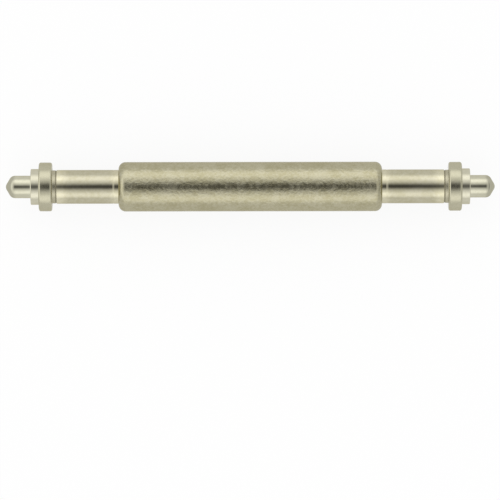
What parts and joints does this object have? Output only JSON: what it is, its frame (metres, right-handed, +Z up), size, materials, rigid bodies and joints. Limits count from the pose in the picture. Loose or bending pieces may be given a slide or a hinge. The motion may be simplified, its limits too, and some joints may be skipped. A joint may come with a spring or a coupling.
{
  "type": "spring bar",
  "caption": "Straight double-flanged spring bar: a thick barrel with rolled ends and two sprung plungers with stepped, domed tips.",
  "frame": {"origin": "middle of the bar on its axis, halfway between the two tips", "axes": "+X along the bar's axis, towards the right plunger's tip; +Z up and +Y across, both square to the axis, alike because the bar is round"},
  "size_m": [0.0244, 0.0024, 0.0024],
  "materials": {
    "barrel_steel": "satin stainless tube, ground round and lightly tumbled",
    "plunger_steel": "bright turned stainless, polished on the shank, collar and tip, satin on the flange",
    "spring_wire": "drawn stainless spring wire"
  },
  "bodies": {
    "barrel": {"barrel": "barrel_steel", "spring": "spring_wire"},
    "left_plunger": {"left_plunger": "plunger_steel"},
    "right_plunger": {"right_plunger": "plunger_steel"}
  },
  "joints": [
    {"name": "left_plunger_slide", "type": "slide", "parent": "barrel", "child": "left_plunger", "axis": [1, 0, 0], "range_m": [0, 0.00328], "stiffness_N_per_m": 1260, "springref_m": -0.0017, "deforming": ["spring"]},
    {"name": "right_plunger_slide", "type": "slide", "parent": "barrel", "child": "right_plunger", "axis": [-1, 0, 0], "range_m": [0, 0.00328], "stiffness_N_per_m": 1260, "springref_m": -0.0017, "deforming": ["spring"]}
  ]
}
